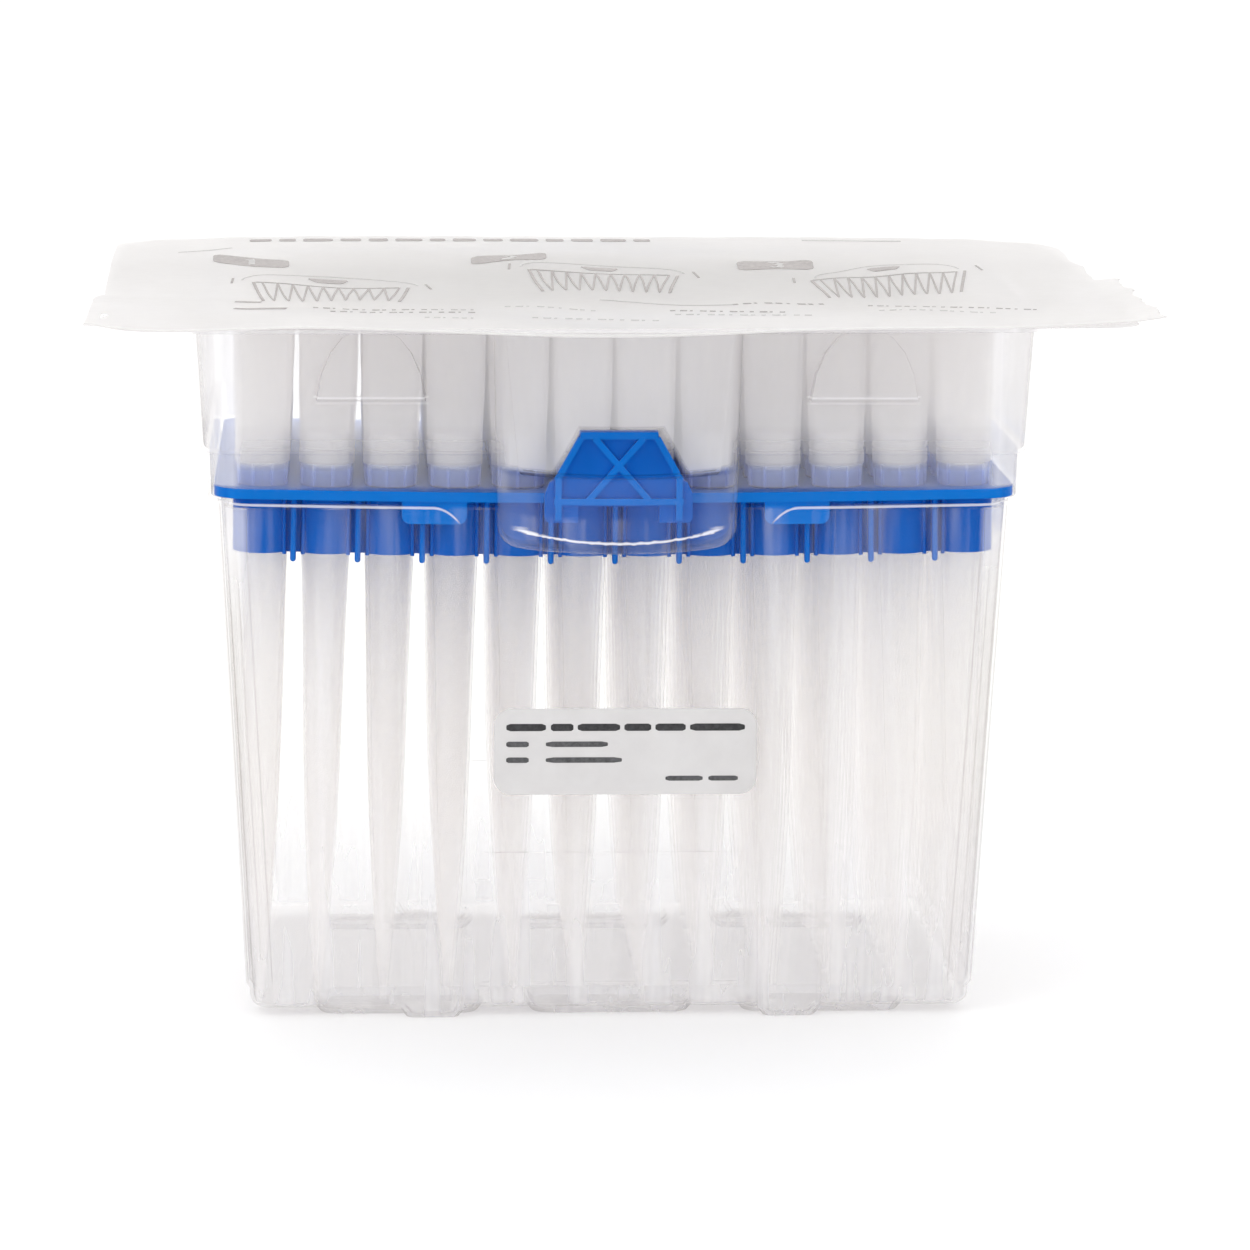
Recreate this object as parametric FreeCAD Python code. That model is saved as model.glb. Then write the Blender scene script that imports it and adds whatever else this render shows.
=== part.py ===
import FreeCAD, Part
import math
import os

from FreeCAD import Vector

# A sealed refill of 96 long filter pipette tips: a clear thermoformed tray, a peelable lid of
# coated paper sealed on its flange, a blue rack plate with two handles, 12 columns of 8 tips
# and the filter plug in each tip. Millimetres, +Z up, X along the 12 columns, the front is -Y.
# The origin is on the table, under the middle of the tray.

# ---- tray ---------------------------------------------------------------------------------
WALL = 0.5            # formed sheet
FLOOR_Z = 1.1         # outer face of the floor, above the feet
LOW_X0, LOW_Y0 = 52.1, 33.8       # half sizes of the well at STEP_Z
LOW_X1, LOW_Y1 = 55.8, 37.2       # half sizes of the well at LEDGE_Z
STEP_Z = 4.6          # small step above the bottom radius
STEP_IN = 0.5
LEDGE_Z = 75.03       # outer face of the ledge at the two ends
SAG_ROOM = 0.95       # the ledges on the long sides lie this much lower
MID_X, MID_Y = 57.3, 39.3         # half sizes of the band that holds the rack plate
SHOULDER_Z = 81.8     # outer face of the shoulder over that band
UP_X0, UP_Y0 = 58.1, 40.2         # half sizes over the shoulder
UP_X1, UP_Y1 = 59.2, 41.3         # half sizes under the flange
FLANGE_Z = 100.6      # lower face of the flange
FLANGE_X, FLANGE_Y, FLANGE_R = 71.6, 54.4, 7.0
FOOT_PITCH, FOOT_W, FOOT_D, FOOT_Y = 30.3, 24.3, 11.0, 26.6
POCKET_W, POCKET_TIP, POCKET_SIDE_Y, POCKET_Z = 17.2, 50.2, 42.4, 68.9
PANEL_W0, PANEL_W1, PANEL_Z, PANEL_OUT = 13.9, 15.9, 79.9, 1.0
LUG_X, LUG_Z = 34.3, 89.7
FLUTE_X, FLUTE_W, FLUTE_Y = 25.5, 4.5, 34.7
FLUTE_TOP_W, FLUTE_TOP_Y = 5.4, 38.9
WINDOW_X, WINDOW_Z = 19.0, 24.3   # shallow raised field between the two flutes

# ---- lid and label ------------------------------------------------------------------------
LID_X, LID_Y, LID_R, LID_T = 73.0, 55.8, 5.0, 0.25
LABEL_W, LABEL_H, LABEL_T, LABEL_R = 37.3, 12.5, 0.12, 2.5
LABEL_X, LABEL_Z = 1.7, 38.95

# ---- rack ---------------------------------------------------------------------------------
PITCH = 9.0
COLUMNS, ROWS = 12, 8
PLATE_X, PLATE_Y, PLATE_T, PLATE_R = 56.2, 38.2, 1.4, 4.1
PLATE_TOP = 77.0      # at the two ends, which rest on the ledge
SAG = 0.7             # how far the loaded plate hangs through in the middle
HOLE_R, SKIRT_R, SKIRT_LEN = 3.58, 4.1, 8.3
RIB_T = 0.8
PIN_R, PIN_LEN = 0.42, 9.1
TAB_X, TAB_W, TAB_DROP = 25.4, 9.1, 3.5
HANDLE_Y, HANDLE_T = 43.4, 1.5
HANDLE_TOP = 85.8

# ---- tip and filter -----------------------------------------------------------------------
TIP_END, TIP_TOP = 2.5, 100.2     # of an end column, with the plate's top at PLATE_TOP
RIBS = 8
END_LEAN = 0.5       # degrees
FILTER_R, FILTER_Z0, FILTER_Z1 = 3.04, 79.6, 84.6

os.makedirs("parts", exist_ok=True)


def rounded(hx, hy, r, z, cx=0.0, cy=0.0):
    """A rounded rectangle's outline at height z."""
    k = r * (1 - math.sqrt(0.5))
    p = []
    for sx, sy in ((1, -1), (1, 1), (-1, 1), (-1, -1)):
        ax, ay = cx + sx * hx, cy + sy * hy
        side = Vector(ax - sx * r, ay, z), Vector(ax, ay - sy * r, z)
        start, end = side if sx * sy < 0 else side[::-1]
        p.append((start, Vector(ax - sx * k, ay - sy * k, z), end))
    edges = []
    for i, (start, mid, end) in enumerate(p):
        edges.append(Part.Arc(start, mid, end).toShape())
        edges.append(Part.makeLine(end, p[(i + 1) % 4][0]))
    return Part.Wire(edges)


def outline(points, z):
    return Part.makePolygon([Vector(x, y, z) for x, y in points + points[:1]])


def loft(wires):
    return Part.makeLoft(wires, True, True)


def block(sections):
    """A tapered block through (hx, hy, r, z) sections, from the lowest up."""
    return loft([rounded(*s) for s in sections])


def edges_at(shape, z, low=-1e9, high=1e9, tol=0.02):
    """The edges that lie flat at height z, with y between low and high."""
    found = []
    for e in shape.Edges:
        b = e.BoundBox
        if abs(b.ZMin - z) < tol and abs(b.ZMax - z) < tol and b.YMin > low and b.YMax < high:
            found.append(e)
    return found


def upright_edges(shape, x, tol=1.2):
    return [
        e
        for e in shape.Edges
        if e.BoundBox.ZLength > 3 and abs(abs(e.BoundBox.Center.x) - x) < tol
        and e.BoundBox.YLength < 2.5
    ]


def low_half(z):
    """Half sizes of the well's outer faces at height z."""
    k = (z - STEP_Z) / (LEDGE_Z - STEP_Z)
    return LOW_X0 + (LOW_X1 - LOW_X0) * k, LOW_Y0 + (LOW_Y1 - LOW_Y0) * k


def up_half(z):
    k = (z - SHOULDER_Z) / (FLANGE_Z - SHOULDER_Z)
    return UP_X0 + (UP_X1 - UP_X0) * k, UP_Y0 + (UP_Y1 - UP_Y0) * k


def pocket(t, top):
    """The bay in front of a handle, bowed outward, with its panel and rounded bottom."""
    def bay(w, tip, side, z):
        a, b = Vector(-w, -side, z), Vector(w, -side, z)
        arc = Part.Arc(a, Vector(0, -tip, z), b).toShape()
        back = -33.0
        return Part.Wire([
            arc,
            Part.makeLine(b, Vector(w, back, z)),
            Part.makeLine(Vector(w, back, z), Vector(-w, back, z)),
            Part.makeLine(Vector(-w, back, z), a),
        ])

    z0 = POCKET_Z + t
    body = loft([
        bay(POCKET_W - 0.5 - t, POCKET_TIP - 0.9 - t, POCKET_SIDE_Y - 0.6 - 0.5 * t, z0),
        bay(POCKET_W + 0.2 - t, POCKET_TIP + 0.3 - t, POCKET_SIDE_Y - 0.5 * t, top),
    ])
    body = body.makeFillet(4.4 - t, upright_edges(body, POCKET_W - 0.2 - t))
    body = body.makeFillet(
        3.4 - t, [e for e in edges_at(body, z0) if e.BoundBox.YMin < -33.5]
    )
    z1 = PANEL_Z + t
    panel = loft([
        bay(PANEL_W0 - t, POCKET_TIP + 0.2 + PANEL_OUT - t, 46.2 - t, z1),
        bay(PANEL_W1 - t, POCKET_TIP + 0.5 + PANEL_OUT - t, 45.2 - t, top),
    ])
    panel = panel.makeFillet(
        0.9 - 0.8 * t, [e for e in edges_at(panel, z1) if e.BoundBox.YMin < -33.5]
    )
    return body.fuse(panel)


def lug(x, t):
    """A stacking lug: a bell-shaped swelling of the wall with a flat lower ledge."""
    rows = ((0.0, 8.35, 1.5), (3.6, 7.7, 1.25), (6.6, 6.4, 0.85), (8.6, 4.8, 0.4), (9.6, 3.0, 0.05))
    wires = []
    for dz, w, out in rows:
        z = LUG_Z + dz + (t if dz == 0.0 else 0.0)
        y = up_half(z)[1] + out - t
        w -= t
        wires.append(outline([(x - w, -36), (x - w + 0.9, -y), (x + w - 0.9, -y), (x + w, -36)], z))
    return loft(wires)


def flute(x, t):
    """A channel down the wall, from the ledge to foot level. A tab of the rack keys into its top."""
    wires = []
    for z, w, y in ((t, FLUTE_W - 0.9, FLUTE_Y - 0.9), (1.2 + t, FLUTE_W, FLUTE_Y),
                    (LEDGE_Z + 1.0, FLUTE_TOP_W, FLUTE_TOP_Y)):
        w, y = w - t, y - t
        wires.append(outline([(x - w, -27), (x - w, 0.7 - y), (x - w + 0.7, -y),
                              (x + w - 0.7, -y), (x + w, 0.7 - y), (x + w, -27)], z))
    return loft(wires)


def window(t):
    z = WINDOW_Z - t
    w, y0, y1 = WINDOW_X - t, low_half(STEP_Z)[1] + 0.5 - t, low_half(WINDOW_Z)[1] + 0.5 - t
    return loft([
        outline([(-w, -28), (-w, -y0), (w, -y0), (w, -28)], STEP_Z + t),
        outline([(-w, -28), (-w, -y1), (w, -y1), (w, -28)], z),
    ])


def both_sides(shape):
    return [shape, shape.mirror(Vector(0, 0, 0), Vector(0, 1, 0))]


def formed(t, top):
    """The volume inside the tray's outer skin, brought in by t all round."""
    x0, y0 = LOW_X0 - STEP_IN, LOW_Y0 - 0.3
    foot_block = block([
        (x0 - 0.15 - t, y0 - 0.15 - t, 2.9 - t, FLOOR_Z + t),
        (x0 - t, y0 - t, 3.0 - t, 3.8 + t),
        (LOW_X0 - t, LOW_Y0 - t, 3.1 - t, STEP_Z + t),
    ])
    foot_block = foot_block.makeFillet(1.8 - t, edges_at(foot_block, FLOOR_Z + t))
    well = block([
        (LOW_X0 - t, LOW_Y0 - t, 3.1 - t, STEP_Z + t),
        (LOW_X1 - t, LOW_Y1 - t, 4.3 - t, LEDGE_Z + t),
        (LOW_X1 - t, LOW_Y1 - t, 4.3 - t, LEDGE_Z + 1.5),
    ])
    sag_ledge = block([
        (54.2 - t, MID_Y - 0.2 - t, 3.0 - t, LEDGE_Z - SAG_ROOM + t),
        (54.5 - t, MID_Y - t, 3.0 - t, SHOULDER_Z),
    ])
    band = block([
        (MID_X - 0.2 - t, MID_Y - 0.2 - t, 4.8 - t, LEDGE_Z + t),
        (MID_X - t, MID_Y - t, 5.0 - t, SHOULDER_Z + 0.8),
    ])
    band = band.makeFillet(0.7 - t * 0.8, edges_at(band, LEDGE_Z + t))
    hx, hy = up_half(top)
    upper = block([
        (UP_X0 - t, UP_Y0 - t, 5.6 - t, SHOULDER_Z + t),
        (hx - t, hy - t, 6.0 - t, top),
    ])
    upper = upper.makeFillet(1.0 - t * 0.8, edges_at(upper, SHOULDER_Z + t))
    more = [well, sag_ledge, band, upper]
    more += both_sides(pocket(t, top))
    for x in (-LUG_X, LUG_X):
        more += both_sides(lug(x, t))
    for x in (-FLUTE_X, FLUTE_X):
        more += both_sides(flute(x, t))
    more += both_sides(window(t))
    for x in (-FOOT_PITCH, 0.0, FOOT_PITCH):
        pad = block([
            (FOOT_W / 2 - 0.9 - t, FOOT_D / 2 - 0.9 - t, 2.6 - t, t, x, -FOOT_Y),
            (FOOT_W / 2 - t, FOOT_D / 2 - t, 3.4 - t, FLOOR_Z + t, x, -FOOT_Y),
            (FOOT_W / 2 - t, FOOT_D / 2 - t, 3.4 - t, FLOOR_Z + 1.2, x, -FOOT_Y),
        ])
        more += both_sides(pad)
    return foot_block.fuse(more)


def tray():
    outer = formed(0.0, FLANGE_Z + 0.1)
    inner = formed(WALL, FLANGE_Z + 3.0)
    flange = block([
        (FLANGE_X, FLANGE_Y, FLANGE_R, FLANGE_Z),
        (FLANGE_X, FLANGE_Y, FLANGE_R, FLANGE_Z + WALL),
    ])
    shape = outer.fuse(flange).cut(inner)
    return shape.removeSplitter()


def lid():
    z = FLANGE_Z + WALL
    return block([(LID_X, LID_Y, LID_R, z), (LID_X, LID_Y, LID_R, z + LID_T)])


def front_label():
    """A thin sticker that lies on the sloping front wall."""
    slope = math.degrees(math.atan2(LOW_Y1 - LOW_Y0, LEDGE_Z - STEP_Z))
    plate = loft([
        rounded(LABEL_W / 2, LABEL_H / 2, LABEL_R, 0.0),
        rounded(LABEL_W / 2, LABEL_H / 2, LABEL_R, LABEL_T),
    ])
    plate.rotate(Vector(0, 0, 0), Vector(1, 0, 0), 90 + slope)
    plate.translate(Vector(LABEL_X, -low_half(LABEL_Z)[1] - 0.005, LABEL_Z))
    return plate


def sag_at(x):
    return SAG * max(0.0, 1 - (x / PLATE_X) ** 2)


def tilt_at(x):
    """How far a column leans, in degrees, because the plate hangs through. The two end columns
    are stopped by the end walls."""
    lean = math.degrees(math.atan(2 * SAG * x / PLATE_X ** 2))
    return max(-END_LEAN, min(END_LEAN, lean)) if abs(x) > 45 else lean


def column_x(c):
    return (c - (COLUMNS - 1) / 2) * PITCH


def row_y(r):
    return (r - (ROWS - 1) / 2) * PITCH


def placed(shape, x, y, lift=0.0):
    """Puts a shape made on the Z axis, at the height of an end column, on the hung plate."""
    s = shape.copy()
    s.rotate(Vector(0, 0, PLATE_TOP), Vector(0, 1, 0), -tilt_at(x))
    s.translate(Vector(x, y, lift - sag_at(x)))
    return s


def handle():
    """The front handle: a ribbed trapezoid on two legs, joined to the plate by a bridge."""
    y0, y1 = -HANDLE_Y - HANDLE_T / 2, -HANDLE_Y + HANDLE_T / 2
    half = [(0, 75.3), (5.65, 75.3), (5.65, 73.0), (10.3, 73.0), (10.3, 77.0), (9.6, 78.6),
            (8.3, 79.4), (5.85, 83.5), (5.4, 85.8), (0, 85.8)]
    pts = half + [(-x, z) for x, z in half[-2:0:-1]]
    wire = Part.makePolygon([Vector(x, y0, z) for x, z in pts + pts[:1]])
    body = Part.Face(wire).extrude(Vector(0, HANDLE_T, 0))
    tops = [e for e in body.Edges
            if e.BoundBox.YLength > 1 and abs(abs(e.BoundBox.Center.x) - 10.3) < 0.1
            and e.BoundBox.ZMax < 73.1]
    body = body.makeFillet(0.8, tops)

    def bar(xa, za, xb, zb, w):
        length = math.hypot(xb - xa, zb - za)
        b = Part.makeBox(length, 0.7, w, Vector(0, -0.35, -w / 2))
        b.rotate(Vector(0, 0, 0), Vector(0, 1, 0), -math.degrees(math.atan2(zb - za, xb - xa)))
        b.translate(Vector(xa, y0 - 0.2, za))
        return b

    ribs = [bar(-5.4, 85.25, 5.4, 85.25, 1.0)]
    for s in (-1, 1):
        ribs.append(bar(s * 3.4, 84.9, s * -4.2, 76.2, 0.9))
        ribs.append(bar(s * 5.3, 84.9, s * 8.6, 79.0, 0.9))
        ribs.append(bar(s * 8.4, 79.3, s * 8.4, 73.4, 0.9))
    ribs.append(bar(-9.0, 76.0, 9.0, 76.0, 0.9))
    bridge = Part.makeBox(18.6, HANDLE_Y - PLATE_Y + 1.5, PLATE_T, Vector(-9.3, -HANDLE_Y, 75.4))
    webs = [Part.makeBox(1.0, HANDLE_Y - PLATE_Y + 1.0, 3.4, Vector(x - 0.5, -HANDLE_Y, 73.4))
            for x in (-8.0, 8.0)]
    return body.fuse(ribs + [bridge] + webs)


def tip_rack():
    steps = 24
    xs = [-PLATE_X + 2 * PLATE_X * i / steps for i in range(steps + 1)]
    top = [Vector(x, 0, PLATE_TOP - sag_at(x)) for x in xs]
    low = [Vector(p.x, 0, p.z - PLATE_T) for p in top]
    curve_top, curve_low = Part.BSplineCurve(), Part.BSplineCurve()
    curve_top.interpolate(top)
    curve_low.interpolate(low)
    side = Part.Wire([
        curve_top.toShape(),
        Part.makeLine(top[-1], low[-1]),
        curve_low.toShape(),
        Part.makeLine(low[0], top[0]),
    ])
    plate = Part.Face(side).extrude(Vector(0, 2 * PLATE_Y, 0))
    plate.translate(Vector(0, -PLATE_Y, 0))
    plate = plate.common(block([(PLATE_X, PLATE_Y, PLATE_R, 70), (PLATE_X, PLATE_Y, PLATE_R, 80)]))

    adds, holes = [], []
    z_skirt = PLATE_TOP - PLATE_T - SKIRT_LEN + 0.3
    skirt = Part.makeCylinder(SKIRT_R, SKIRT_LEN, Vector(0, 0, z_skirt))
    hole = Part.makeCylinder(HOLE_R, 14, Vector(0, 0, PLATE_TOP - 12))
    for c in range(COLUMNS):
        for r in range(ROWS):
            adds.append(placed(skirt, column_x(c), row_y(r)))
            holes.append(placed(hole, column_x(c), row_y(r)))
    # webs that tie the skirts together, along the columns and along the rows
    web_y = Part.makeBox(RIB_T, row_y(7) - row_y(0), 4.6, Vector(-RIB_T / 2, row_y(0), 71.2))
    for c in range(COLUMNS):
        adds.append(placed(web_y, column_x(c), 0.0))
    for c in range(COLUMNS - 1):
        x = (column_x(c) + column_x(c + 1)) / 2
        web_x = Part.makeBox(2.4, RIB_T, 7.6, Vector(-1.2, -RIB_T / 2, 68.2))
        for r in range(ROWS):
            adds.append(placed(web_x, x, row_y(r)))
    # upright pins between the columns along both edges, each with two short stubs
    pin = Part.makeCylinder(PIN_R, PIN_LEN - PIN_R + 0.7, Vector(0, 0, PLATE_TOP - PLATE_T - PIN_LEN + PIN_R))
    pin = pin.fuse(Part.makeSphere(PIN_R, Vector(0, 0, PLATE_TOP - PLATE_T - PIN_LEN + PIN_R)))
    fin = Part.makeBox(RIB_T, 3.4, 8.15, Vector(-RIB_T / 2, 0, 67.65))
    fin = fin.fuse(Part.makeBox(2.0, 1.5, 8.15, Vector(-1.0, 1.5, 67.65)))
    stub = Part.makeCylinder(0.3, 8.9, Vector(0, 0, PLATE_TOP - PLATE_T - 8.2))
    for c in range(COLUMNS - 1):
        x = (column_x(c) + column_x(c + 1)) / 2
        for s in (-1, 1):
            adds.append(placed(pin, x, s * 35.5))
            f = fin.copy()
            if s > 0:
                f = f.mirror(Vector(0, 0, 0), Vector(0, 1, 0))
            adds.append(placed(f, x, s * 35.5))
            for d in (-1.35, 1.35):
                adds.append(placed(stub, x + d, s * 34.45))
    # tabs under both edges, which key the rack in its box
    for x in (-TAB_X, TAB_X):
        for s in (-1, 1):
            tab = Part.makeBox(TAB_W, 1.2, TAB_DROP + 0.6, Vector(-TAB_W / 2, -0.6, 75.9 - TAB_DROP))
            tab = tab.makeFillet(1.2, [e for e in tab.Edges if e.BoundBox.YLength > 1
                                       and e.BoundBox.ZMax < 74.0])
            adds.append(placed(tab, x, s * (PLATE_Y - 1.0)))
    adds += both_sides(handle())
    shape = plate.fuse(adds)
    shape = shape.cut(Part.makeCompound(holes))
    return shape.removeSplitter()


def tip():
    """One long filter tip on the Z axis, hollow from its socket to its orifice."""
    outer = [(0.49, TIP_END), (1.31, 12.4), (2.3, 28.4), (2.62, 38.5), (2.84, 48.5), (3.07, 57.8),
             (3.36, 66.0), (3.47, PLATE_TOP), (3.47, 79.9), (3.9, 80.2), (3.9, 82.0), (3.82, 82.15),
             (3.82, 82.35), (3.9, 82.5), (3.9, 83.5), (3.82, 83.65), (3.82, 83.85), (3.9, 84.0),
             (3.9, 84.9), (3.88, 85.1), (4.07, 89.0), (4.2, TIP_TOP)]
    inner = [(3.5, TIP_TOP), (3.12, 86.0), (3.06, 84.9), (3.06, 79.5), (2.98, 78.5), (2.92, 66.0),
             (2.62, 57.8), (2.38, 48.5), (2.16, 38.5), (1.82, 28.4), (0.84, 12.4), (0.24, TIP_END)]
    pts = [Vector(x, 0, z) for x, z in outer + inner]
    body = Part.Face(Part.makePolygon(pts + pts[:1])).revolve(Vector(0, 0, 0), Vector(0, 0, 1), 360)
    ribs = []
    for k in range(RIBS):
        rib = Part.makeBox(0.62, 0.4, 3.3, Vector(3.26, -0.2, PLATE_TOP))
        rib.rotate(Vector(0, 0, 0), Vector(0, 0, 1), 22.5 + 360.0 * k / RIBS)
        ribs.append(rib)
    return body.fuse(ribs).removeSplitter()


def plug():
    pts = [Vector(x, 0, z) for x, z in
           ((0, FILTER_Z0), (FILTER_R - 0.12, FILTER_Z0), (FILTER_R, FILTER_Z0 + 0.15),
            (FILTER_R, FILTER_Z1 - 0.15), (FILTER_R - 0.12, FILTER_Z1), (0, FILTER_Z1))]
    return Part.Face(Part.makePolygon(pts + pts[:1])).revolve(Vector(0, 0, 0), Vector(0, 0, 1), 360)


def save(name, shape):
    shape.exportStep("parts/" + name + ".step")
    b = shape.BoundBox
    print("%-20s solids %3d  faces %5d  valid %s  x %.1f %.1f  y %.1f %.1f  z %.1f %.1f  cm3 %.2f" % (
        name, len(shape.Solids), len(shape.Faces), shape.isValid(),
        b.XMin, b.XMax, b.YMin, b.YMax, b.ZMin, b.ZMax, shape.Volume / 1000))


save("tray", tray())
save("lid", lid())
save("front_label", front_label())
save("tip_rack", tip_rack())
one_tip, one_plug = tip(), plug()
for c in range(COLUMNS):
    x = column_x(c)
    lift = 0.04 if c in (0, COLUMNS - 1) else 0.01
    save("tips_column_%02d" % (c + 1),
         Part.makeCompound([placed(one_tip, x, row_y(r), lift) for r in range(ROWS)]))
    save("filters_column_%02d" % (c + 1),
         Part.makeCompound([placed(one_plug, x, row_y(r), lift) for r in range(ROWS)]))
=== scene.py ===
import math

import bmesh
import bpy
import numpy as np
from mathutils import Matrix, Vector


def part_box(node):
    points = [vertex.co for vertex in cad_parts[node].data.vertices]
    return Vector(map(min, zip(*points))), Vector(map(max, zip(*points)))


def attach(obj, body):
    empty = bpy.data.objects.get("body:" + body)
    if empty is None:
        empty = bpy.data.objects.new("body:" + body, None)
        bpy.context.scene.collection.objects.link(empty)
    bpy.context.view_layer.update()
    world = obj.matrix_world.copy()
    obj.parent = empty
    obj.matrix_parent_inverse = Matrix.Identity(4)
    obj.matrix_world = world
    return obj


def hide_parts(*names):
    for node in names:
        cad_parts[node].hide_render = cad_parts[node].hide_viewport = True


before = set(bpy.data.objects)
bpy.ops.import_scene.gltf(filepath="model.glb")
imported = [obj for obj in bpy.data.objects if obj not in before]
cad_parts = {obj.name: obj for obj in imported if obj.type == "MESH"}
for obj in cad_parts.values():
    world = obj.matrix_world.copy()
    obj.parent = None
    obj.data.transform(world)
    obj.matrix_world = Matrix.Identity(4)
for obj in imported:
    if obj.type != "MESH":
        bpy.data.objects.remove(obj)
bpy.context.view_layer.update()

MM = 0.001
scene = bpy.context.scene
rng = np.random.default_rng(11)

# the same driving sizes as the CAD, in millimetres
FLANGE_TOP = 101.1
PITCH, COLUMNS, ROWS = 9.0, 12, 8
PLATE_X, PLATE_TOP, SAG, END_LEAN = 56.2, 77.0, 0.7, 0.5
TIP_END, TIP_TOP = 2.5, 100.2


# ================================================================ materials
class Tree:
    """A small wrapper that keeps material code short."""

    def __init__(self, name):
        self.m = bpy.data.materials.new(name)
        self.m.use_nodes = True
        self.t = self.m.node_tree
        self.t.nodes.clear()
        self.out = self.t.nodes.new("ShaderNodeOutputMaterial")

    def node(self, kind, values=None, **attrs):
        n = self.t.nodes.new("ShaderNode" + kind)
        for k, v in attrs.items():
            setattr(n, k, v)
        for k, v in (values or {}).items():
            if isinstance(v, bpy.types.NodeSocket):
                self.t.links.new(v, n.inputs[k])
            else:
                n.inputs[k].default_value = v
        return n

    def ramp(self, fac, stops):
        n = self.node("ValToRGB", {"Fac": fac})
        while len(n.color_ramp.elements) < len(stops):
            n.color_ramp.elements.new(0.5)
        for e, (p, c) in zip(n.color_ramp.elements, stops):
            e.position = p
            e.color = (*c, 1)
        return n.outputs["Color"]

    def value(self, fac, a, b, low=0.0, high=1.0):
        n = self.node("MapRange", {"Value": fac, "From Min": low, "From Max": high, "To Min": a, "To Max": b})
        return n.outputs["Result"]

    def noise(self, scale, detail=3.0, rough=0.5, stretch=(1, 1, 1)):
        tc = self.node("TexCoord")
        mp = self.node("Mapping", {"Vector": tc.outputs["Object"], "Scale": stretch})
        n = self.node("TexNoise", {"Vector": mp.outputs["Vector"], "Scale": scale, "Detail": detail, "Roughness": rough})
        return n.outputs["Fac"]

    def add(self, a, b):
        return self.node("Math", {0: a, 1: b}, operation="ADD").outputs[0]

    def bump(self, height, distance, strength=1.0):
        return self.node("Bump", {"Height": height, "Distance": distance, "Strength": strength}).outputs["Normal"]

    def times(self, a, b):
        return self.node("Math", {0: a, 1: b}, operation="MULTIPLY").outputs[0]

    def place(self):
        """Where a point is on the object, in metres, with both halves in x and in y counted alike."""
        p = self.node("SeparateXYZ", {0: self.node("TexCoord").outputs["Object"]})
        return (self.node("Math", {0: p.outputs["X"]}, operation="ABSOLUTE").outputs[0],
                self.node("Math", {0: p.outputs["Y"]}, operation="ABSOLUTE").outputs[0], p.outputs["Z"])

    def mirror(self, normal, straight, power):
        """How much a thin wall mirrors: both its skins together, counted on the skin that faces the light's path."""
        face = self.node("LayerWeight", {"Blend": 0.5, **({"Normal": normal} if normal else {})}).outputs["Facing"]
        slant = self.node("Math", {0: face, 1: power}, operation="POWER").outputs[0]
        both = self.node("MapRange", {"Value": slant, "To Min": straight, "To Max": 1.0}).outputs["Result"]
        back = self.node("NewGeometry").outputs["Backfacing"]
        front = self.node("Math", {0: 1.0, 1: back}, operation="SUBTRACT").outputs[0]
        return self.node("Math", {0: both, 1: front}, operation="MULTIPLY").outputs[0]

    def mix(self, fac, a, b):
        n = self.node("MixShader", {"Fac": fac})
        self.t.links.new(a, n.inputs[1])
        self.t.links.new(b, n.inputs[2])
        return n.outputs[0]

    def finish(self, shader):
        self.t.links.new(shader, self.out.inputs["Surface"])
        return self.m


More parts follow.
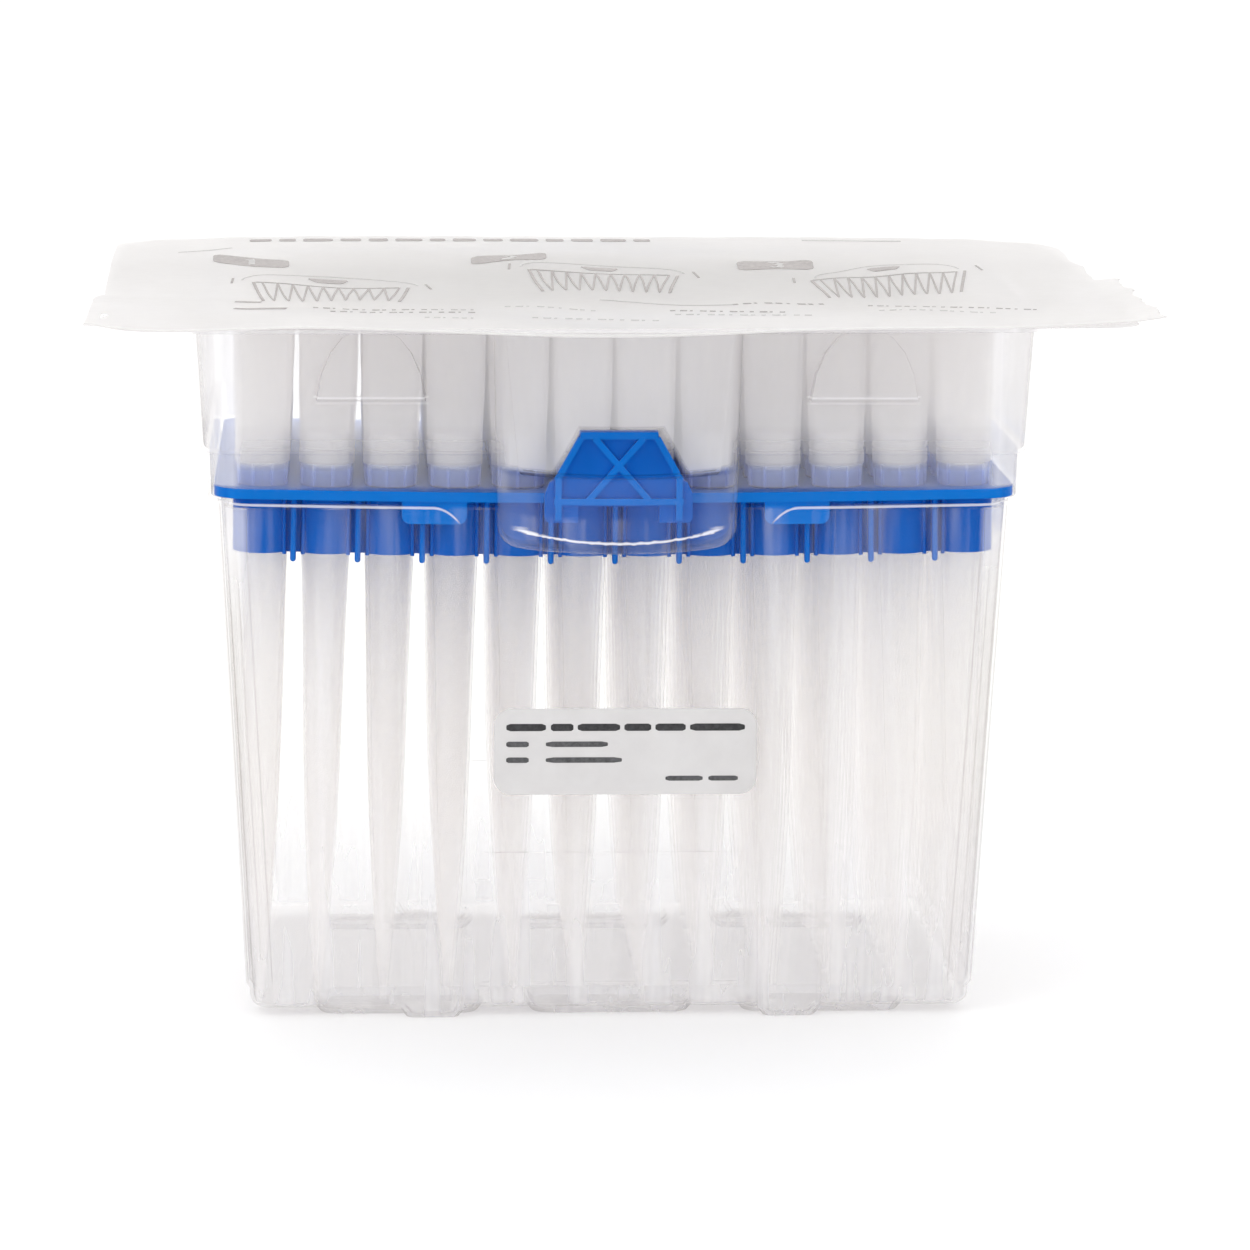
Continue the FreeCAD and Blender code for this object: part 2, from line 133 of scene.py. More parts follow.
def clear_sheet():
    """Thin clear formed sheet. Nearly all passes through it; seen aslant it is a little greyer, its gloss
    rides on a faint draw ripple, and it is hazed white down the corners of the well, low on the walls, on the upper
    walls and in faint upright streaks. Its white haze also carries painted highlights along the ledge under the plate,
    round the bottom of the handle pocket and above and below each lug. Its clear tint carries painted shade: dark
    lines round the well's upright corners, along the foot, under each lug and on the handle pocket's upper step."""
    t = Tree("clear_sheet")
    x, y, z = t.place()
    ripple = t.noise(60.0, 1.0, 0.5, (1.0, 1.0, 0.3))
    fine = t.noise(900.0, 1.0, 0.6, (1.0, 1.0, 0.25))
    streak = t.noise(260.0, 2.0, 0.6, (1.0, 1.0, 0.03))
    n = t.bump(ripple, 0.0006, 0.25)
    geo = t.node("NewGeometry")
    front = t.node("Math", {0: 1.0, 1: geo.outputs["Backfacing"]}, operation="SUBTRACT").outputs[0]
    facing = t.node("SeparateXYZ", {0: geo.outputs["Normal"]}).outputs
    facing_down = facing["Z"]
    level = t.value(t.node("Math", {0: facing_down}, operation="ABSOLUTE").outputs[0], 0.0, 0.75, 0.55, 0.90)
    end = t.value(t.node("Math", {0: facing["X"]}, operation="ABSOLUTE").outputs[0], 0.0, 0.65, 0.60, 0.90)
    face = t.node("LayerWeight", {"Blend": 0.5, "Normal": n}).outputs["Facing"]
    haze_and_painted_highlight = t.node("BsdfDiffuse", {"Color": (0.942, 0.938, 0.972, 1.0)}).outputs[0]
    gloss = t.node("BsdfGlossy", {"Color": (0.87, 0.858, 0.85, 1), "Roughness": t.value(fine, 0.02, 0.08), "Normal": n}).outputs[0]
    well = t.value(z, 1.0, 0.0, 0.0738, 0.0746)
    bay_foot = t.times(t.value(y, 0.0, 1.0, 0.0410, 0.0416), t.value(z, 1.0, 0.0, 0.0770, 0.0775))
    hang = t.times(t.value(y, 0.0, 1.0, 0.0440, 0.0445), t.times(t.value(z, 0.0, 1.0, 0.0792, 0.0794), t.value(z, 1.0, 0.0, 0.0811, 0.0814)))
    veil = t.times(t.times(t.value(streak, 0.01, 0.21, 0.46, 0.72), t.value(level, 1.0, 0.0, 0.0, 0.6)), well)
    low = t.value(z, 0.21, 0.0, 0.0080, 0.0340)
    corner = t.times(t.times(t.value(x, 0.0, 1.0, 0.0512, 0.0522), well),
                     t.add(t.value(z, 0.0, 0.20, 0.0560, 0.0640), t.value(z, 0.0, 0.14, 0.0640, 0.0690)))
    # how far inside the end wall's plane a point lies, which grows round the well's upright corners
    inward = t.node("Math", {0: t.node("Math", {0: z, 1: -0.05256, 2: -0.05186}, operation="MULTIPLY_ADD").outputs[0], 1: x},
                    operation="ADD").outputs[0]
    # painted shade: four thin dark lines that follow the well's upright corners, drawn into the clear tint
    lines = None
    for at, half, dark in ((-0.00034, 0.00014, 0.44), (-0.00105, 0.00013, 0.25), (-0.00235, 0.00012, 0.17), (-0.0038, 0.00014, 0.19)):
        off = t.node("Math", {0: t.add(inward, -at)}, operation="ABSOLUTE").outputs[0]
        line = t.value(off, dark, 0.0, half * 0.4, half)
        lines = line if lines is None else t.add(lines, line)
    lines = t.times(lines, t.times(well, t.value(z, 0.0, 1.0, 0.0040, 0.0060)))
    # painted shade: a dark line along the very foot of the walls, stronger where the wall is seen aslant
    foot = t.times(t.value(z, 0.34, 0.0, 0.0002, 0.0011), t.value(face, 0.06, 1.0, 0.35, 0.85))
    bay = t.times(t.times(t.value(y, 0.0, 0.078, 0.0408, 0.0416), t.value(z, 1.0, 0.0, 0.0795, 0.0800)), t.value(x, 0.45, 1.0, 0.0108, 0.0124))
    margin = t.times(t.value(x, 0.0, 0.35, 0.0520, 0.0535), t.value(z, 0.0, 1.0, 0.0772, 0.0776))
    # painted highlight: a white band round the bottom curve of the handle pocket, following its rounded corners
    rising = t.node("Math", {0: t.times(x, x), 1: -1950.0, 2: facing_down}, operation="MULTIPLY_ADD").outputs[0]
    painted_pocket_highlight = t.times(t.times(t.value(rising, 0.0, 0.74, -0.37, -0.43), t.value(rising, 0.0, 1.0, -0.53, -0.48)),
                   t.times(t.times(bay_foot, t.value(facing_down, 1.0, 0.0, -0.10, -0.04)),
                           t.times(t.value(x, 1.0, 0.0, 0.0138, 0.0154), t.value(z, 1.0, 0.0, 0.0724, 0.0727))))
    # painted highlight: a thin white band along the ledge under the plate, which follows the plate's sag and turns down
    # near the handle pocket
    hung = t.node("Math", {0: t.times(x, x), 1: -0.2216, 2: t.add(z, 0.0007)}, operation="MULTIPLY_ADD").outputs[0]
    turned = t.node("Math", {0: t.node("Math", {0: 0.0257, 1: x}, operation="SUBTRACT").outputs[0], 1: 0.0}, operation="MAXIMUM").outputs[0]
    hung = t.node("Math", {0: t.times(turned, turned), 1: 150.0, 2: hung}, operation="MULTIPLY_ADD").outputs[0]
    painted_ledge_highlight = t.times(t.times(t.value(hung, 0.0, 0.52, 0.07464, 0.07476), t.value(hung, 1.0, 0.0, 0.07498, 0.07512)),
                  t.times(t.value(y, 1.0, 0.0, 0.0402, 0.0410), t.value(x, 0.0, 1.0, 0.0217, 0.0226)))
    upper = t.times(t.times(t.value(z, 0.14, 0.33, 0.0806, 0.0862), t.value(z, 0.0, 1.0, 0.0768, 0.0774)), t.value(y, 1.0, 0.0, 0.0430, 0.0440))
    # the panel over a handle, where it stays clear right in front of the handle
    beside = t.value(t.node("Math", {0: z, 1: 0.55, 2: x}, operation="MULTIPLY_ADD").outputs[0], 0.0, 0.37, 0.0530, 0.0541)
    above = t.value(z, 0.0, 0.37, 0.0867, 0.0875)
    crown = t.times(t.node("Math", {0: beside, 1: above}, operation="MAXIMUM").outputs[0],
                    t.times(t.value(y, 0.0, 1.0, 0.0430, 0.0440), t.value(z, 0.0, 1.0, 0.0802, 0.0812)))
    upper = t.times(t.add(upper, crown), t.value(x, 1.0, 0.06, 0.0520, 0.0545))
    lug_x = t.node("Math", {0: t.add(x, -0.0343)}, operation="ABSOLUTE").outputs[0]
    on_lug = t.times(t.value(lug_x, 1.0, 0.0, 0.0073, 0.0081), t.value(y, 0.0, 1.0, 0.0400, 0.0404))
    # painted highlights: thin white bands just above and just below each lug's lower edge
    painted_lug_highlight_above = t.times(on_lug, t.times(t.value(z, 0.0, 0.26, 0.08995, 0.0901), t.value(z, 1.0, 0.0, 0.0902, 0.0904)))
    painted_lug_highlight_below = t.times(on_lug, t.times(t.value(z, 0.0, 0.12, 0.0890, 0.0892), t.value(z, 1.0, 0.0, 0.0893, 0.0895)))
    # painted shade: a thin dark line along each lug's lower edge
    step = t.times(t.times(on_lug, t.value(y, 0.0, 1.0, 0.0410, 0.0414)),
                   t.times(t.value(z, 0.0, 0.6, 0.08955, 0.08965), t.value(z, 1.0, 0.0, 0.0898, 0.0899)))
    ends = t.times(t.add(corner, margin), t.value(end, 1.0, 0.4, 0.2, 0.6))
    # milky haze and painted highlights, summed into one mask for the white haze
    haze_and_highlight_mask = t.add(t.add(t.add(t.add(veil, low), t.add(ends, bay)), t.add(painted_pocket_highlight, painted_ledge_highlight)),
                 t.add(t.add(upper, t.add(painted_lug_highlight_above, painted_lug_highlight_below)), t.value(fine, 0.0, 0.006, 0.35, 0.75)))
    tint = t.ramp(face, [(0.0, (0.984, 0.983, 0.980)), (0.45, (0.970, 0.968, 0.965)), (0.70, (0.935, 0.928, 0.922)),
                         (1.0, (0.62, 0.602, 0.592))])
    slope = t.times(t.value(z, 0.0, 0.6, 0.0880, 0.0895), t.value(x, 1.0, 0.0, 0.0500, 0.0520))
    calm = t.node("Math", {0: level, 1: end}, operation="MAXIMUM").outputs[0]
    tint = t.node("MixRGB", {"Fac": t.node("Math", {0: calm, 1: slope}, operation="MAXIMUM").outputs[0], "Color1": tint,
                             "Color2": (0.965, 0.962, 0.958, 1.0)}).outputs[0]
    # painted shade: the down-facing faces of the handle pocket's upper step are tinted dark
    crease = t.times(t.times(hang, t.value(x, 0.30, 1.0, 0.0108, 0.0122)), t.times(t.value(facing_down, 0.0, 0.75, -0.30, -0.42), t.value(facing_down, 1.0, 0.0, -0.80, -0.90)))
    tint = t.node("MixRGB", {"Fac": crease, "Color1": tint, "Color2": (0.30, 0.31, 0.36, 1.0)}).outputs[0]
    # painted shade: the corner lines, the foot line and the lug line darken the clear tint
    tint = t.node("MixRGB", {"Fac": t.add(t.add(lines, foot), step), "Color1": tint, "Color2": (0.44, 0.40, 0.385, 1.0)}).outputs[0]
    clear = t.node("BsdfTransparent", {"Color": tint}).outputs[0]
    haze_and_highlight_weight = t.times(t.node("Clamp", {"Value": haze_and_highlight_mask, "Max": 0.9}).outputs[0], front)
    return t.finish(t.mix(t.times(t.mirror(n, 0.003, 4.0), t.value(calm, 1.0, 0.35)), t.mix(haze_and_highlight_weight, clear, haze_and_painted_highlight), gloss))


def natural_plastic():
    """Natural polypropylene: milky, more so in the thick sockets at the top, with light coming through it."""
    t = Tree("natural_plastic")
    y, z = t.place()[1:]
    mottle = t.noise(160.0, 2.0, 0.5, (1.0, 1.0, 0.15))
    colour = t.ramp(mottle, [(0.3, (0.994, 0.980, 0.970)), (0.7, (0.999, 0.988, 0.980))])
    # painted reflection: the neck between the collars and the plate is tinted blue and made cloudier, standing in for
    # light thrown up by the blue plate
    painted_blue_light_neck = t.times(t.value(z, 0.0, 1.0, 0.0764, 0.0768), t.value(z, 1.0, 0.0, 0.0788, 0.0800))
    colour = t.node("MixRGB", {"Fac": t.times(painted_blue_light_neck, 0.9), "Color1": colour, "Color2": (0.56, 0.68, 1.0, 1.0)}).outputs[0]
    lit = t.node("BsdfDiffuse", {"Color": colour}).outputs[0]
    through = t.node("BsdfTranslucent", {"Color": colour}).outputs[0]
    milk = t.mix(0.6, lit, through)
    face = t.node("LayerWeight", {"Blend": 0.5}).outputs["Facing"]
    thick = t.value(z, 0.0, 1.0, 0.0792, 0.0802)
    tint = t.ramp(face, [(0.0, (1.0, 1.0, 1.0)), (0.7, (1.0, 0.999, 0.998)), (0.90, (0.99, 0.987, 0.985)),
                         (1.0, (0.78, 0.77, 0.765))])
    tint = t.node("MixRGB", {"Fac": t.times(thick, 0.8), "Color1": tint, "Color2": (1.0, 0.999, 0.998, 1.0)}).outputs[0]
    # painted shade: the outer rows' shafts, whose thick edges have nothing in front of them, are darkened toward their
    # outlines
    rim = t.times(t.times(t.value(y, 0.0, 1.0, 0.0258, 0.0268), t.value(z, 1.0, 0.0, 0.0600, 0.0680)), t.value(face, 0.0, 1.0, 0.78, 0.97))
    tint = t.node("MixRGB", {"Fac": rim, "Color1": tint, "Color2": (0.62, 0.605, 0.595, 1.0)}).outputs[0]
    clear = t.node("BsdfTransparent", {"Color": tint}).outputs[0]
    gloss = t.node("BsdfGlossy", {"Color": (1, 1, 1, 1), "Roughness": t.value(mottle, 0.16, 0.26)}).outputs[0]
    cloudy = t.add(t.value(face, 0.08, 0.26), t.add(t.times(thick, 0.30), t.times(painted_blue_light_neck, 0.50)))
    shine = t.times(t.mirror(None, 0.012, 5.0), t.value(thick, 0.5, 0.12))
    return t.finish(t.mix(shine, t.mix(cloudy, clear, milk), gloss))


def blue_plastic():
    """Satin moulded polypropylene with a little light inside it. Its thin outer edges, ribs and pins carry a paler
    blue, a painted glow standing in for light coming through them; seen very flat it mirrors the room."""
    t = Tree("blue_plastic")
    x, y, z = t.place()
    cloud = t.noise(140.0, 2.0, 0.55)
    grain = t.noise(2600.0, 2.0, 0.5)
    n = t.bump(grain, 0.00004, 0.3)
    # painted light: masks for the plate's front strip, the ribs and the pins, which take a paler blue as if light came
    # through them
    edge = t.times(t.value(y, 0.0, 1.0, 0.0373, 0.0377), t.value(y, 1.0, 0.0, 0.0386, 0.0400))
    ribs = t.value(y, 0.0, 0.75, 0.04422, 0.04440)
    pins = t.times(t.value(y, 0.0, 0.6, 0.03568, 0.03582), t.value(y, 1.0, 0.0, 0.0373, 0.0374))
    thin = t.add(t.add(edge, ribs), pins)
    deep = t.ramp(cloud, [(0.25, (0.000, 0.110, 0.53)), (0.75, (0.000, 0.134, 0.60))])
    painted_glow_blue = t.ramp(cloud, [(0.25, (0.000, 0.182, 0.68)), (0.75, (0.003, 0.205, 0.75))])
    colour = t.node("MixRGB", {"Fac": thin, "Color1": deep, "Color2": painted_glow_blue}).outputs[0]
    p = t.node("BsdfPrincipled", {
        "Base Color": colour,
        "Roughness": t.value(grain, 0.34, 0.50), "Normal": n, "IOR": 1.49, "Specular IOR Level": 0.03}).outputs[0]
    through = t.node("BsdfTranslucent", {"Color": t.ramp(cloud, [(0.25, (0.0, 0.19, 0.78)), (0.75, (0.0, 0.22, 0.88))])}).outputs[0]
    gloss = t.node("BsdfGlossy", {"Color": (1, 1, 1, 1), "Roughness": t.value(grain, 0.30, 0.42)}).outputs[0]
    face = t.node("LayerWeight", {"Blend": 0.5}).outputs["Facing"]
    level = t.value(t.node("SeparateXYZ", {0: t.node("NewGeometry").outputs["Normal"]}).outputs["Z"], 0.0, 1.0, 0.85, 0.95)
    power = t.value(level, 5.0, 3.0)
    flat = t.value(t.node("Math", {0: face, 1: power}, operation="POWER").outputs[0], 0.001, 0.36)
    return t.finish(t.mix(flat, t.mix(0.11, p, through), gloss))


def porous_plug():
    t = Tree("porous_plug")
    grain = t.noise(3200.0, 4.0, 0.7)
    colour = t.ramp(grain, [(0.3, (0.84, 0.835, 0.84)), (0.7, (0.92, 0.915, 0.92))])
    p = t.node("BsdfPrincipled", {"Base Color": colour, "Roughness": t.value(grain, 0.75, 0.95),
                                  "Normal": t.bump(grain, 0.0002, 0.8)}).outputs[0]
    through = t.node("BsdfTranslucent", {"Color": colour}).outputs[0]
    return t.finish(t.mix(0.4, p, through))


def lid_paper():
    """Coated lidding paper: off-white fibres, faint mottling, some light through it."""
    t = Tree("lid_paper")
    fibre = t.noise(420.0, 5.0, 0.62, (1.0, 3.0, 1.0))
    cloud = t.noise(30.0, 3.0, 0.5)
    both = t.add(fibre, cloud)
    colour = t.ramp(t.value(both, 0.0, 1.0, 0.6, 1.4), [(0.0, (0.825, 0.815, 0.808)), (1.0, (0.885, 0.878, 0.872))])
    n = t.bump(both, 0.00012, 0.5)
    p = t.node("BsdfPrincipled", {"Base Color": colour, "Roughness": t.value(fibre, 0.42, 0.62), "Normal": n}).outputs[0]
    through = t.node("BsdfTranslucent", {"Color": colour, "Normal": n}).outputs[0]
    return t.finish(t.mix(0.55, p, through))


def ink(name, dark, light):
    """Thin printed ink with the paper's mottling in it."""
    t = Tree(name)
    speck = t.noise(1500.0, 4.0, 0.7)
    p = t.node("BsdfPrincipled", {"Base Color": t.ramp(speck, [(0.35, dark), (0.65, light)]),
                                  "Roughness": t.value(speck, 0.45, 0.65)}).outputs[0]
    return t.finish(p)


def label_film():
    t = Tree("label_film")
    cloud = t.noise(200.0, 4.0, 0.6)
    colour = t.ramp(cloud, [(0.3, (0.76, 0.747, 0.747)), (0.7, (0.81, 0.80, 0.80))])
    p = t.node("BsdfPrincipled", {"Base Color": colour, "Roughness": t.value(cloud, 0.34, 0.5),
                                  "Normal": t.bump(cloud, 0.00004, 0.4)}).outputs[0]
    through = t.node("BsdfTranslucent", {"Color": colour}).outputs[0]
    return t.finish(t.mix(0.2, p, through))


CLEAR, NATURAL, BLUE, PLUG, PAPER, FILM = (
    clear_sheet(), natural_plastic(), blue_plastic(), porous_plug(), lid_paper(), label_film())
LID_INK = ink("lid_ink", (0.20, 0.175, 0.17), (0.36, 0.33, 0.32))
LID_PALE = ink("lid_pale_ink", (0.42, 0.41, 0.40), (0.56, 0.55, 0.54))
LABEL_INK = ink("label_ink", (0.010, 0.010, 0.011), (0.040, 0.040, 0.044))
LABEL_PALE = ink("label_thin_ink", (0.045, 0.045, 0.048), (0.11, 0.11, 0.115))


# ================================================================ pieces
def piece(name, mesh, materials, slot, *nodes):
    """A finished mesh in metres, riding on the object and standing for its CAD nodes."""
    o = bpy.data.objects.new(name, mesh)
    scene.collection.objects.link(o)
    for m in materials:
        mesh.materials.append(m)
    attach(o, "root")
    if nodes:
        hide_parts(*nodes)
    return o


def mesh_of(name, verts, faces, slots=None, sharp=32.0):
    me = bpy.data.meshes.new(name)
    me.from_pydata([tuple(v) for v in np.asarray(verts) * MM], [], faces)
    me.polygons.foreach_set("use_smooth", np.ones(len(me.polygons), dtype=bool))
    if slots is not None:
        me.polygons.foreach_set("material_index", np.asarray(slots, dtype=np.int32))
    me.set_sharp_from_angle(angle=math.radians(sharp))
    me.update()
    return me


def reading(table, x):
    """A smooth curve through (position, value) pairs."""
    xs, ys = np.array(table, dtype=float).T
    m = np.gradient(ys, xs)
    x = np.clip(x, xs[0], xs[-1])
    i = np.clip(np.searchsorted(xs, x) - 1, 0, len(xs) - 2)
    d = xs[i + 1] - xs[i]
    t = (x - xs[i]) / d
    return ((2 * t ** 3 - 3 * t ** 2 + 1) * ys[i] + (t ** 3 - 2 * t ** 2 + t) * d * m[i]
            + (3 * t ** 2 - 2 * t ** 3) * ys[i + 1] + (t ** 3 - t ** 2) * d * m[i + 1])


def ease(x, a, b):
    t = np.clip((x - a) / (b - a), 0, 1)
    return t * t * (3 - 2 * t)


# ---------------------------------------------------------------- how the sealed rim is warped
RIM_FRONT = [(-72, 101.05), (-66.9, 100.95), (-58.8, 100.85), (-52.8, 101.05), (-44, 101.3), (-33.2, 101.08),
             (-18.7, 100.55), (-7, 100.2), (3.2, 100.2), (14.1, 100.6), (23.9, 101.08), (34, 101.3), (44.4, 101.35),
             (56.4, 101.4), (72, 101.45)]
RIM_BACK = [(-72, 101.9), (-66.4, 102.25), (-52.4, 102.75), (-29.1, 102.95), (-4, 102.93), (17.9, 102.9),
            (43.1, 102.87), (58.9, 102.65), (72, 102.0)]


def rim_rise(x, y):
    """How far the sealed rim and the lid on it are bent up or down, at (x, y)."""
    s = np.clip((y + 55.8) / 111.6, 0, 1)
    bow = 1 - 0.35 * np.clip(np.abs(x) / 73, 0, 1) ** 4
    flat = 0.05 + 1.75 * s ** 1.3 * bow
    front = reading(RIM_FRONT, x) - FLANGE_TOP - 0.05
    back = reading(RIM_BACK, x) - FLANGE_TOP - 0.05 - 1.75 * bow
    return flat + front * np.exp(-np.clip(y + 55.8, 0, None) / 9.0) + back * np.exp(-np.clip(55.8 - y, 0, None) / 9.0)


# ---------------------------------------------------------------- tray
def tray():
    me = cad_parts["tray"].data.copy()
    me.materials.clear()
    bm = bmesh.new()
    bm.from_mesh(me)
    bmesh.ops.remove_doubles(bm, verts=bm.verts, dist=2e-6)
    bm.to_mesh(me)
    bm.free()
    for a in ("custom_normal",):
        if a in me.attributes:
            me.attributes.remove(me.attributes[a])
    n = len(me.vertices)
    co = np.empty(n * 3)
    me.vertices.foreach_get("co", co)
    co = co.reshape(-1, 3) / MM
    x, y, z = co.T
    z += rim_rise(x, y) * ease(z, 86.0, 100.4)
    # a formed sheet is never quite flat
    y += 0.12 * np.sin(x * 0.11 + z * 0.045) * ease(z, 8, 30) * (1 - ease(z, 60, 72))
    me.vertices.foreach_set("co", (np.stack([x, y, z], 1) * MM).ravel())
    me.polygons.foreach_set("use_smooth", np.ones(len(me.polygons), dtype=bool))
    me.set_sharp_from_angle(angle=math.radians(28))
    me.update()
    piece("clear_tray", me, [CLEAR], "clear_sheet", "tray")


# ---------------------------------------------------------------- tips
def sag_at(x):
    return SAG * max(0.0, 1 - (x / PLATE_X) ** 2)


def tilt_at(x):
    lean = math.degrees(math.atan(2 * SAG * x / PLATE_X ** 2))
    return max(-END_LEAN, min(END_LEAN, lean)) if abs(x) > 45 else lean


OUTER = [(0.42, TIP_END), (0.49, TIP_END + 0.08), (0.80, 6.0), (1.31, 12.4), (1.56, 16.0), (1.84, 20.5), (2.10, 24.8),
         (2.30, 28.4), (2.62, 38.5), (2.84, 48.5), (3.07, 57.8), (3.20, 62.0), (3.36, 66.0), (3.45, 72.0),
         (3.47, 77.0), (3.47, 79.9), (3.56, 80.02), (3.9, 80.2), (3.9, 82.0), (3.76, 82.15), (3.76, 82.35), (3.9, 82.5),
         (3.9, 83.5), (3.76, 83.65), (3.76, 83.85), (3.9, 84.0), (3.9, 84.9), (3.88, 85.02), (3.88, 85.2),
         (4.07, 89.0), (4.14, 95.0), (4.2, 99.95), (4.17, 100.12), (4.08, TIP_TOP)]
INNER = [(3.60, TIP_TOP), (3.50, 100.05), (3.31, 93.0), (3.12, 86.0), (3.06, 84.9), (3.06, 79.5), (2.98, 78.5),
         (2.92, 66.0), (2.62, 57.8), (2.38, 48.5), (2.16, 38.5), (1.82, 28.4), (1.36, 20.5), (0.84, 12.4), (0.24, TIP_END + 0.03)]


def tip_mesh(segments=44):
    """One tip on the Z axis: a closed lathe of its outside and its bore, with eight small ribs."""
    ring = np.array(OUTER + INNER)
    a = np.linspace(0, 2 * math.pi, segments, endpoint=False)
    v = np.stack([np.outer(ring[:, 0], np.cos(a)), np.outer(ring[:, 0], np.sin(a)),
                  np.repeat(ring[:, 1][:, None], segments, 1)], 2).reshape(-1, 3)
    f = []
    k = len(ring)
    for i in range(k):
        j = (i + 1) % k
        for s in range(segments):
            q = (s + 1) % segments
            f.append((i * segments + s, i * segments + q, j * segments + q, j * segments + s))
    verts, faces = [v], f
    base = len(v)
    for r in range(8):
        c, s = math.cos(math.radians(22.5 + 45 * r)), math.sin(math.radians(22.5 + 45 * r))
        box = []
        for z, x1 in ((77.1, 3.72), (80.1, 3.86)):
            for rad, w in ((3.3, 0.2), (x1, 0.14)):
                for t in (-w, w):
                    box.append((rad * c - t * s, rad * s + t * c, z))
        verts.append(np.array(box))
        for q in ((0, 1, 3, 2), (4, 6, 7, 5), (0, 4, 5, 1), (2, 3, 7, 6), (0, 2, 6, 4), (1, 5, 7, 3)):
            faces.append(tuple(base + m for m in q))
        base += 8
    return np.concatenate(verts), faces


def tips():
    v0, f0 = tip_mesh()
    for c in range(COLUMNS):
        x = (c - (COLUMNS - 1) / 2) * PITCH
        verts, faces = [], []
        for r in range(ROWS):
            y = (r - (ROWS - 1) / 2) * PITCH
            spin = rng.uniform(0, 2 * math.pi)
            lean_x, lean_y = rng.normal(0, 0.045, 2)
            p = v0.copy()
            cs, sn = math.cos(spin), math.sin(spin)
            p[:, :2] = np.stack([p[:, 0] * cs - p[:, 1] * sn, p[:, 0] * sn + p[:, 1] * cs], 1)
            d = p[:, 2] - PLATE_TOP
            a = -math.radians(tilt_at(x) + lean_x)
            q = p.copy()
            q[:, 0] = p[:, 0] * math.cos(a) + d * math.sin(a)
            q[:, 2] = PLATE_TOP - p[:, 0] * math.sin(a) + d * math.cos(a)
            q[:, 1] += d * math.sin(math.radians(lean_y))
            q += (x, y, (0.04 if c in (0, COLUMNS - 1) else 0.01) - sag_at(x))
            faces += [tuple(i + len(v0) * r for i in f) for f in f0]
            verts.append(q)
        me = mesh_of("tips_%02d" % (c + 1), np.concatenate(verts), faces, sharp=38.0)
        piece("tips_%02d" % (c + 1), me, [NATURAL], "natural_plastic", "tips_column_%02d" % (c + 1))


# ---------------------------------------------------------------- lid
LEFT = [(-55.8, -73.3), (-48, -73.5), (-40, -73.5), (-30, -73.5), (-24, -73.4), (-21.5, -73.2), (-20.4, -72.5), (-18, -72.15),
        (-10, -72.2), (0, -72.35), (15, -72.55), (28, -72.8), (45, -72.8), (55.8, -72.8)]
RIGHT = [(-55.8, 74.0), (-52, 74.5), (-44, 74.9), (-38, 75.6), (-33, 75.1), (-24, 75.4), (-17, 75.3), (-14, 75.9), (-10, 75.2),
         (-4, 75.3), (0.5, 75.3), (3.2, 73.2), (10, 73.0), (19, 73.3), (22.6, 73.6), (27, 72.8), (38, 73.1), (55.8, 73.3)]
RADII = {"fl": 2.2, "fr": 1.8, "bl": 2.5, "br": 9.0}


def lid_height(x, y):
    """Underside of the lid, in millimetres above the table."""
    z = FLANGE_TOP + 0.03 + rim_rise(x, y)
    z = z + 1.05 * np.exp(-((x + 74) ** 2 + (y + 56.5) ** 2) / (2 * 3.6 ** 2))
    z = z + 0.95 * np.exp(-(((x - 73) / 9.0) ** 2 + ((y + 56) / 7.5) ** 2) / 2)
    z = z + 0.55 * ease(x, 69.0, 75.5) * ease(-y, -8, 6)
    z = z + 0.50 * ease(x, 72.0, 75.5) * np.exp(-((y + 0.5) / 4.0) ** 2)
    z = z + 0.35 * ease(x, 72.0, 75.5) * np.exp(-((y + 13.5) / 3.0) ** 2)
    z = z + 0.30 * ease(x, 72.0, 75.5) * np.exp(-((y + 36.0) / 4.0) ** 2)
    # a crease that runs in from the nick on the left
    z = z + 0.42 * np.exp(-np.abs(y + 20.5 + (x + 73) * 0.10) / 2.6) * (1 - ease(x, -73, -40))
    z = z - 0.22 * ease(-y, 20, 30) * (1 - ease(x, -74, -58))
    inside = ease(58.5 - np.abs(x), 0, 10) * ease(40.5 - np.abs(y), 0, 8)
    z = z + inside * (0.30 * np.sin(x * 0.085 + 0.6) * np.cos(y * 0.06 + 0.4) + 0.16 * np.sin(x * 0.21 - y * 0.13)
                      + 0.10 * np.sin(x * 0.37 + y * 0.24 + 1.0))
    edge = ease(np.abs(x), 60, 73) + ease(np.abs(y), 45, 55.8)
    z = z + 0.06 * edge * np.sin(x * 0.55 + 0.3) * np.sin(y * 0.47 + 1.1)
    return z


